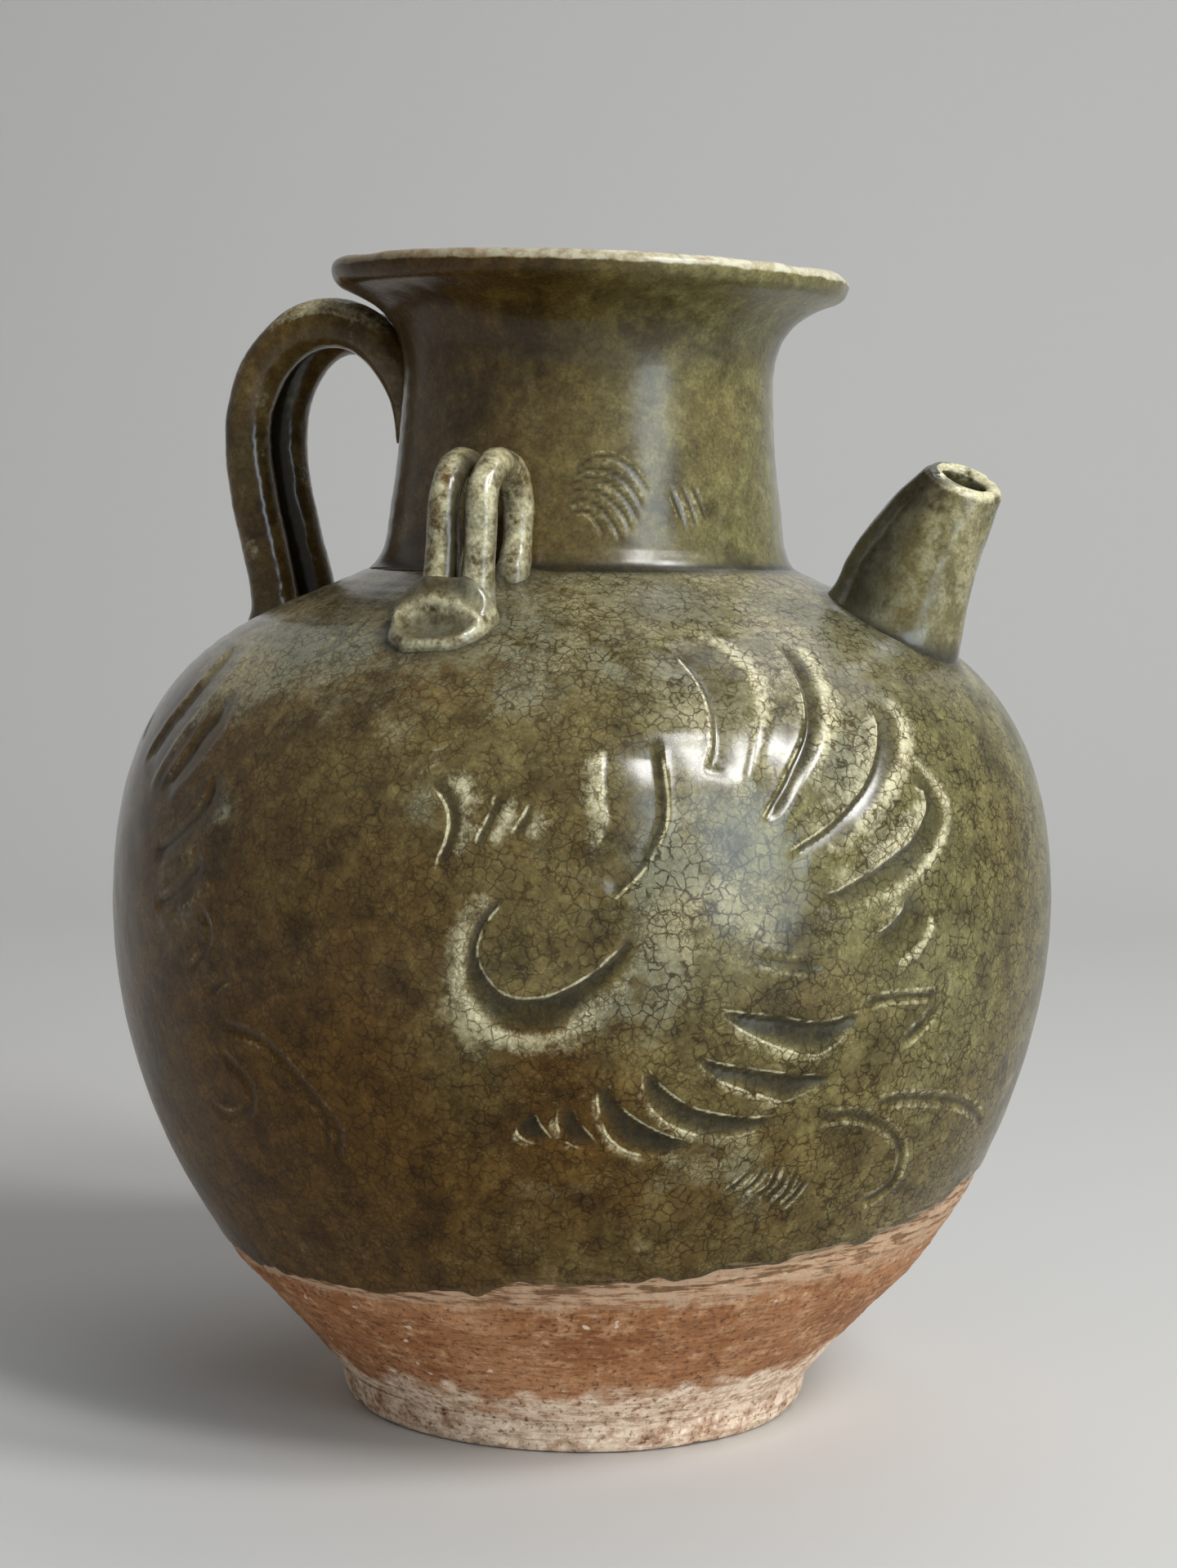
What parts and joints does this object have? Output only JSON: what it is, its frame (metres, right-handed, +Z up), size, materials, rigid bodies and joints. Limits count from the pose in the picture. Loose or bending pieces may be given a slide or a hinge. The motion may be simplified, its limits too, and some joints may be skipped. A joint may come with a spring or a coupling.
{
  "type": "ceramic jug",
  "caption": "Round-bellied glazed stoneware ewer with a flared mouth, short spout, two-strand loop handle and paired shoulder lugs.",
  "frame": {"origin": "centre of the foot's sole, on the axis of the vessel", "axes": "+Z up along the axis, +X towards the spout, -X towards the handle, lugs towards -Y and +Y"},
  "size_m": [0.1626, 0.1626, 0.197],
  "materials": {
    "olive_glaze": "glossy crackled olive glaze",
    "pale_glaze": "glossy glaze, thin and pale on the ridges",
    "dark_glaze": "glossy dark olive brown glaze",
    "bare_clay": "matt unglazed fired clay"
  },
  "bodies": {
    "root": {"foot_ring": "bare_clay", "body": "olive_glaze", "neck": "olive_glaze", "spout": "pale_glaze", "handle_near_strand": "dark_glaze", "handle_far_strand": "dark_glaze", "front_lug_left_strand": "pale_glaze", "front_lug_right_strand": "pale_glaze", "front_lug_pad": "pale_glaze", "rear_lug_left_strand": "pale_glaze", "rear_lug_right_strand": "pale_glaze", "rear_lug_pad": "pale_glaze"}
  },
  "joints": []
}
